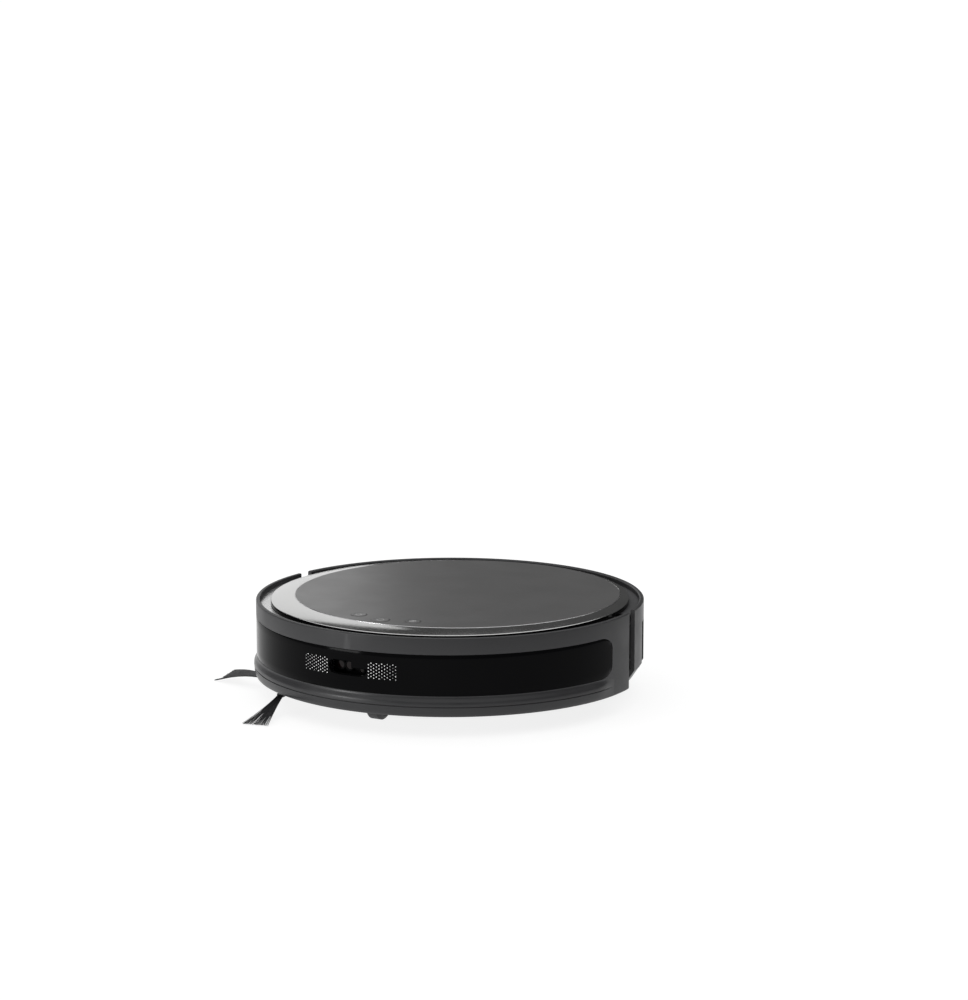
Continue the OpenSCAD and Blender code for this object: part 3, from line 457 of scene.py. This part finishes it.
bumper = by_columns("bumper_skin", bumper_angles(), shell_profile, CHARCOAL, "bumper", node="bumper_shell",
                    slot="charcoal_plastic")
cut(bumper, slot_cutter(0.0))
tint_inside(bumper)
window_angles = [a for a in bumper_angles() if window_reach(a)]
window = by_columns("window_skin", window_angles, window_profile, GLOSS, "bumper", node="bumper_window",
                    slot="gloss_black")
cut(window, slot_cutter(0.5 * MM))
slot_rim()


GROOVE_Z = 26.2 * MM
# Radians over which the lip thins out at each end.
LIP_FADE = 0.16
LIP_STEPS = 240
LIP_CURVE_STEPS = 10


def eased(t):
    """t from 0 to 1, slow at both ends."""
    return t * t * (3 - 2 * t)


def lip_profile(a):
    """Flared lower lip with its thin groove; it thins out towards its two ends."""
    fade = eased(min(1.0, max(0.02, (LIP_HALF - abs(a - FRONT)) / LIP_FADE)))
    edge = WALL_R + 0.05 * MM
    back = edge - 0.6 * MM
    out = (LIP_R - edge) * fade
    floor_r = edge + out - 1.0 * MM * fade
    low, top, g = lip_low.z, lip_high.z, GROOVE_Z
    p = [(back, low + 1.0 * MM), (edge + out * 0.30, low + 0.1 * MM), (edge + out * 0.55, low + 1.2 * MM)]
    p += [(edge + out * 0.80, g - 4.5 * MM), (edge + out * 0.90, g - 1.2 * MM)]
    p += [(edge + out * 0.90, g - 0.5 * MM)]
    p += [(edge + out * 0.78, g - 0.35 * MM), (floor_r, g - 0.3 * MM), (floor_r, g + 0.3 * MM)]
    p += [(edge + out * 0.86, g + 0.35 * MM), (edge + out, g + 0.6 * MM)]
    for i in range(1, LIP_CURVE_STEPS + 1):
        t = i / LIP_CURVE_STEPS
        p.append((edge + out * (1 - eased(t)) - 0.1 * MM * t, g + 2.2 * MM + (top - g - 2.2 * MM) * t))
    p.append((back, top - 0.5 * MM))
    return p


lip_angles = [FRONT - LIP_HALF + 2 * LIP_HALF * i / LIP_STEPS for i in range(LIP_STEPS + 1)]
by_columns("lip_skin", lip_angles, lip_profile, LIP, "bumper", node="bumper_lip", slot="charcoal_plastic")

DOT_COLUMNS = 11
DOT_ROWS = range(-2, 3)
DOT_COLUMN_STEP = 2.4 * MM
DOT_ROW_STEP = 2.8 * MM
DOT_START = math.radians(6.9)
DOT_SIDES = 8
# Rings of one dot from its edge inwards: share of its radius, and height over the window in millimetres.
DOT_RINGS = ((1.0, -0.03), (0.75, 0.05), (0.3, 0.08))


def add_dot(verts, faces, a, z, radius):
    """Adds one low round dot at an angle and height on the window to a mesh that is being gathered."""
    base = len(verts)
    for share, lift in DOT_RINGS:
        r = radius * share
        out = WALL_R - 0.05 * MM + lift * MM
        for t in round_steps(DOT_SIDES):
            verts.append(polar(out, a + r * math.cos(t) / WALL_R, z + r * math.sin(t)))
    for ring in range(len(DOT_RINGS) - 1):
        at, to = base + ring * DOT_SIDES, base + (ring + 1) * DOT_SIDES
        for i in range(DOT_SIDES):
            j = (i + 1) % DOT_SIDES
            faces.append((at + i, at + j, to + j, to + i))
    faces.append(tuple(len(verts) - DOT_SIDES + i for i in range(DOT_SIDES)))


def grille_dots():
    """Fields of small pale dots on both sides of the slot, staggered, brightest near the slot."""
    bright, mid, dim = ([], []), ([], []), ([], [])
    for side in (-1, 1):
        for col in range(DOT_COLUMNS):
            a = FRONT + side * (DOT_START + col * DOT_COLUMN_STEP / WALL_R)
            for row in DOT_ROWS:
                z = SLOT_Z + (row + 0.5 * (col % 2) - 0.25) * DOT_ROW_STEP
                level = 1 - 0.07 * col + 0.25 * math.sin(2.3 * row + 1.7 * col)
                batch = bright if level > 0.48 else mid if level > 0.22 else dim
                add_dot(*batch, a, z, (0.44 + 0.10 * max(0.0, level)) * MM)
    make("dots_bright", *bright, DOT_NEAR, "bumper", slot="silver_plastic")
    make("dots_mid", *mid, DOT_MID, "bumper", slot="silver_plastic")
    make("dots_dim", *dim, DOT_FAR, "bumper", slot="silver_plastic")


grille_dots()

# ---------------------------------------------------------------- top
TOP_STEPS = 300
COVER_SLOPE = 0.026


def top_cover():
    """Crescent-shaped cover: a loft from the panel's recess out to the round edge."""
    recess = PANEL_R + 0.65 * MM
    crown = cover_high.z
    floor_z = panel_low.z - 0.1 * MM
    columns = []
    for a in round_steps(TOP_STEPS):
        x_in, y_in = recess * math.cos(a), PANEL_Y + recess * math.sin(a)
        bearing = math.atan2(y_in, x_in)

        def on_edge(inset, drop):
            x, y, _ = polar(COVER_R - inset, bearing, 0)
            far = math.hypot(x, y - PANEL_Y) - recess
            return (x, y, crown - COVER_SLOPE * max(0.0, far) - drop)

        columns.append([
            (x_in * 0.5, y_in * 0.5, floor_z), (x_in, y_in, floor_z), (x_in, y_in, crown - 0.12 * MM),
            polar(recess + 0.12 * MM, a, crown, cy=PANEL_Y),
            on_edge(0.75 * MM, 0.0), on_edge(0.35 * MM, 0.12 * MM),
            on_edge(0.1 * MM, 0.4 * MM), on_edge(0, 0.8 * MM),
            polar(COVER_R, bearing, cover_low.z + 0.1 * MM), polar(COVER_R - 0.3 * MM, bearing, cover_low.z),
            (x_in * 0.5, y_in * 0.5, cover_low.z)])
    skin = loft("cover_skin", columns, True, SILVER, "robot", node="top_cover", slot="silver_plastic")
    # The cover's outer side is painted gloss black as painted shade for the dark gap between cover and moat;
    # the faces low under the crown are gloss black too.
    skin.data.materials.append(GLOSS)
    for face in skin.data.polygons:
        if face.center.z < crown - 2.2 * MM or math.hypot(face.center.x, face.center.y) > COVER_R - 0.2 * MM:
            face.material_index = 1


def hairline_ring():
    """Bright ring round the panel, flat below and rounded above."""
    low = panel_low.z + 0.1 * MM
    section = [(PANEL_R + 0.06 * MM, low), (PANEL_R + 0.5 * MM, low)]
    section += arc(PANEL_R + 0.28 * MM, PANEL_Z - 0.32 * MM, 0.23 * MM, 0, 180, 6)
    round_piece("ring_skin", section, TOP_STEPS, 0, PANEL_Y, BRIGHT, "robot", node="panel_ring",
                slot="bright_ring")


top_cover()
hairline_ring()
dress("top_panel", PANEL, bevel=0.3, segments=3)


BUTTON_STEPS = 48
AXIS_R = 0.0005 * MM
STEM_R = 2 * MM


def push_button(node, body, icon):
    """A shallow dished cap on its stem, with a dark halo ring and a generic sign on top."""
    low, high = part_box(node)
    cx, cy = (low.x + high.x) / 2, (low.y + high.y) / 2
    flange = (high.x - low.x) / 2
    r, top = flange - 0.7 * MM, high.z
    under, over, soft = panel_low.z - 0.7 * MM, panel_low.z - 0.1 * MM, 0.45 * MM
    cap = [(AXIS_R, low.z), (STEM_R, low.z), (STEM_R, under), (flange, under), (flange, over), (r, over)]
    cap += [(r, top - soft)] + arc(r - soft, top - soft, soft, 15, 90, 4)
    cap += [(r * 0.7, top - 0.10 * MM), (r * 0.35, top - 0.2 * MM), (AXIS_R, top - 0.22 * MM)]
    round_piece(node + "_cap", cap, BUTTON_STEPS, cx, cy, PANEL, body, node=node, slot="panel_plastic")
    inner, outer = r - 0.75 * MM, r - 0.3 * MM
    halo = [(inner, top - 0.08 * MM), (outer, top - 0.16 * MM), (outer, top - 0.03 * MM)]
    halo += [(r - 0.5 * MM, top), (inner, top - 0.02 * MM)]
    round_piece(node + "_halo", halo, BUTTON_STEPS, cx, cy, GLOSS, body, slot="gloss_black")
    for k, stroke in enumerate(icon):
        strip(f"{node}_sign_{k}", stroke, Vector((cx, cy, top - 0.14 * MM)), 0.42 * MM, PRINT, body)


def strip(name, points, at, width, material, body):
    """A thin raised line through points given in millimetres round at."""
    pts = [Vector((x * MM, y * MM, 0)) for x, y in points]
    lift = Vector((0, 0, 0.12 * MM))
    columns = []
    for i, p in enumerate(pts):
        run = (pts[min(i + 1, len(pts) - 1)] - pts[max(i - 1, 0)]).normalized()
        side = Vector((-run.y, run.x, 0)) * width / 2
        base = at + p
        columns.append([base - side, base + side, base + side * 0.7 + lift, base - side * 0.7 + lift])
    loft(name, columns, False, material, body, slot="silver_plastic")


def turn(r, a0, a1, steps):
    """Points of an arc round the middle of a sign, angles in degrees."""
    angles = [math.radians(a0 + (a1 - a0) * i / steps) for i in range(steps + 1)]
    return [(r * math.cos(a), r * math.sin(a)) for a in angles]


HOUSE = [[(-3, -0.2), (0, 2.6), (3, -0.2)], [(-2.1, 0.3), (-2.1, -2.5), (2.1, -2.5), (2.1, 0.3)]]
POWER = [turn(3.0, 118, 422, 26), [(0, 3.9), (0, 0.6)]]
SPOT = [turn(2.7, 0, 352, 26), turn(1.0, 0, 352, 14)]
push_button("button_right", "right_button", HOUSE)
push_button("button_middle", "middle_button", POWER)
push_button("button_left", "left_button", SPOT)

# ---------------------------------------------------------------- rear, base and inner parts
dress("rear_shell", CHARCOAL, bevel=0.5, segments=3)
dress("bin_face", CHARCOAL, bevel=0.4, segments=3)
dress("deck_frame", BLACK, bevel=0.2)
for name, material, bevel in (
        ("chassis", BLACK, 0.3), ("chassis_screws", STEEL, 0.1), ("deck_posts", STEEL, 0.1),
        ("vent_grilles", BLACK, 0.25), ("sensor_pod", GLOSS, 0.3), ("sensor_lenses", GLASS, 0.3),
        ("main_board", BOARD, 0.1), ("battery_pack", WRAP, 0.8), ("battery_door", BLACK, 0.3),
        ("brush_housing", BLACK, 0.3), ("brush_guard", GREY, 0.5), ("brush_gearbox", BLACK, 0.6),
        ("brush_motor", STEEL, 0.4), ("intake_duct", BLACK, 0.4), ("side_brush_gearbox", BLACK, 0.6),
        ("fan_housing", BLACK, 0.5), ("fan_motor", STEEL, 0.5), ("speaker", BLACK, 0.5),
        ("wheel_pods", BLACK, 0.3), ("arm_springs", STEEL, 0.2), ("caster_housing", BLACK, 0.4),
        ("cliff_sensors", GLASS, 0.5), ("charge_contacts", BRASS, 0.4), ("bumper_switches", BLACK, 0.2),
        ("brush_core", BLACK, 0.4), ("brush_strips", RED, 0.2), ("brush_bearings", STEEL, 0.3),
        ("side_brush_hub", RUBBER, 0.5), ("side_brush_screw", STEEL, 0.15), ("arm_left", GREY, 0.6),
        ("arm_right", GREY, 0.6), ("hub_left", GREY, 0.5), ("hub_right", GREY, 0.5),
        ("tyre_left", TREAD, 0.3), ("tyre_right", TREAD, 0.3), ("caster_fork", GREY, 0.4),
        ("caster_wheel", TREAD, 0.5), ("caster_axle", STEEL, 0.3), ("bin_body", SMOKE, 0.3),
        ("bin_lid", SMOKE, 0.4), ("filter_frame", BLACK, 0.3), ("filter_pleats", PAPER, 0.0),
        ("evac_flap", RUBBER, 0.2), ("inlet_flap", RUBBER, 0.2), ("release_button", GREY, 0.0),
        ("impeller", GREY, 0.2)):
    dress(name, material, bevel)


# ---------------------------------------------------------------- bumper springs
SPRING_TURNS = 4
SPRING_STEPS = 16
SPRING_SIDES = 6
SPRING_WIRE = 0.22 * MM


def spring_coils():
    """Two small coils between base and bumper."""
    low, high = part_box("bumper_springs")
    wire, n = SPRING_WIRE, SPRING_SIDES
    radius = (high.z - low.z) / 2 - wire
    middle = (low.z + high.z) / 2
    count = SPRING_TURNS * SPRING_STEPS
    verts, faces = [], []
    for side in (-1, 1):
        base = len(verts)
        for i in range(count + 1):
            a = TAU * i / SPRING_STEPS
            y = high.y - wire + (low.y - high.y + 2 * wire) * i / count
            for b in round_steps(n):
                r = radius + wire * math.cos(b)
                x = side * (high.x - radius - wire) + r * math.cos(a)
                verts.append((x, y + wire * math.sin(b), middle + r * math.sin(a)))
        for i in range(count):
            at, to = base + i * n, base + (i + 1) * n
            faces += [(at + k, at + (k + 1) % n, to + (k + 1) % n, to + k) for k in range(n)]
        faces += [tuple(base + k for k in range(n)), tuple(base + count * n + k for k in range(n))]
    coils = make("spring_coils", verts, faces, STEEL, "robot", node="bumper_springs", slot="steel", crease=80)
    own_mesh(coils)


spring_coils()

# ---------------------------------------------------------------- side brush
hub_low, hub_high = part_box("side_brush_screw")
HUB = Vector(((hub_low.x + hub_high.x) / 2, (hub_low.y + hub_high.y) / 2, 0))
ARM_END = 40 * MM
REACH = 99.5 * MM
ROOT_Z = 12.2 * MM
ROOT_HALF = 2.1 * MM
TIP_HALF = 11 * MM
# Each tuft: bearing and lag in degrees (the main brush holds the third back), then in millimetres how far it
# arches up and how far one side of its fan is lifted off the floor.
TUFTS = ((163.2, 0.0, 2.6, 4.0), (282.4, 0.0, -0.6, 0.0), (42.8, -70.0, 0.0, 0.0))


LAYERS = 3
PER_LAYER = 34
BRISTLE_POINTS = 8
BRISTLE_SIDES = 4
BRISTLE_R = 0.25 * MM
BURIED = 1.5 * MM


def tube(points, radius, verts, faces):
    """Adds a thin bristle through points, finer at its tip, to a mesh that is being gathered."""
    base, n, last = len(verts), BRISTLE_SIDES, len(points) - 1
    for i, p in enumerate(points):
        run = (points[min(i + 1, last)] - points[max(i - 1, 0)]).normalized()
        u = run.cross(Vector((0, 0, 1))).normalized()
        w = run.cross(u)
        r = radius * (1 - 0.35 * i / last)
        verts += [p + (u * math.cos(t) + w * math.sin(t)) * r for t in round_steps(n)]
    for i in range(last):
        a, b = base + i * n, base + (i + 1) * n
        faces += [(a + k, a + (k + 1) % n, b + (k + 1) % n, b + k) for k in range(n)]
    faces.append(tuple(base + k for k in range(n)))
    faces.append(tuple(base + last * n + k for k in range(n)))


def bristle_points(across, length, layer, bend, arch, lift):
    """Points along one bristle, in the plane of its own arm."""
    root_z = ROOT_Z + 0.55 * (layer - 1) * MM
    tip_z = (0.8 + 0.35 * layer) * MM
    points = []
    for i in range(BRISTLE_POINTS):
        t = i / (BRISTLE_POINTS - 1)
        side = across * (ROOT_HALF + (TIP_HALF - ROOT_HALF) * t ** 1.35)
        along = length * t
        x = ARM_END - BURIED + along * math.cos(bend) - side * math.sin(bend) * t
        y = along * math.sin(bend) + side * (1 - t + t * math.cos(bend))
        z = root_z + (tip_z - root_z) * t + arch * MM * math.sin(math.pi * t)
        points.append(Vector((x, y, z + lift * MM * t * max(0.0, 0.4 - across))))
    return points


def bristles():
    """Three flat fans of fine bristles at the ends of the side brush's arms."""
    verts, faces = [], []
    for bearing, lag, arch, lift in TUFTS:
        out = Matrix.Rotation(math.radians(bearing), 3, "Z")
        for layer in range(LAYERS):
            for k in range(PER_LAYER):
                across = (k / (PER_LAYER - 1) - 0.5) * 2 + random.uniform(-0.05, 0.05)
                length = (REACH - ARM_END) * random.uniform(0.98, 1.0) + BURIED
                points = bristle_points(across, length, layer, math.radians(lag), arch, lift)
                tube([out @ p + HUB for p in points], BRISTLE_R, verts, faces)
    make("bristle_tufts", verts, faces, NYLON, "side_brush", node="side_brush_bristles", slot="bristle_nylon",
         crease=80)


bristles()

# ---------------------------------------------------------------- stage and light
FAR = 80
FLOOR_GLOW = 0.84
WORLD_GLOW = 0.08
DOME_POWER = 2.4


def link_object(name, data):
    """Adds an object of the studio, which isn't part of the machine."""
    o = bpy.data.objects.new(name, data)
    bpy.context.scene.collection.objects.link(o)
    return o


def pale_floor():
    """A white sweep that glows a little, so that it stays pale under the machine."""
    m = bpy.data.materials.new("floor_white")
    m.use_nodes = True
    shader = m.node_tree.nodes["Principled BSDF"]
    shader.inputs["Base Color"].default_value = (0.20, 0.20, 0.20, 1)
    shader.inputs["Roughness"].default_value = 0.95
    shader.inputs["Emission Color"].default_value = (1, 1, 1, 1)
    shader.inputs["Emission Strength"].default_value = FLOOR_GLOW
    mesh = bpy.data.meshes.new("floor")
    mesh.from_pydata([(-FAR, -FAR, 0), (FAR, -FAR, 0), (FAR, FAR, 0), (-FAR, FAR, 0)], [], [(0, 1, 2, 3)])
    mesh.materials.append(m)
    link_object("floor", mesh)


def soft_card(name, at, look, size, power):
    """A lit card that the camera doesn't see."""
    data = bpy.data.lights.new(name, "AREA")
    data.shape = "RECTANGLE"
    data.size, data.size_y = size
    data.energy = power
    o = link_object(name, data)
    o.location = at
    o.rotation_euler = (Vector(look) - Vector(at)).to_track_quat("-Z", "Y").to_euler()
    o.visible_camera = False


pale_floor()
world = bpy.data.worlds.new("studio")
bpy.context.scene.world = world
world.use_nodes = True
world.node_tree.nodes["Background"].inputs["Color"].default_value = (1, 1, 1, 1)
world.node_tree.nodes["Background"].inputs["Strength"].default_value = WORLD_GLOW
bpy.context.scene.view_settings.view_transform = "Standard"

dome = bpy.data.lights.new("dome", "SUN")
dome.energy = DOME_POWER
dome.angle = math.radians(110)
link_object("dome", dome)
soft_card("back_left_card", (-0.95, 0.62, 0.34), (-0.05, 0.0, 0.06), (0.9, 0.5), 1.3)
soft_card("left_softbox", (-1.05, -1.75, 0.42), (0, -0.1, 0.05), (0.7, 0.5), 14)
soft_card("right_softbox", (1.6, 1.3, 0.6), (0.1, 0.05, 0.05), (0.8, 0.8), 0.15)
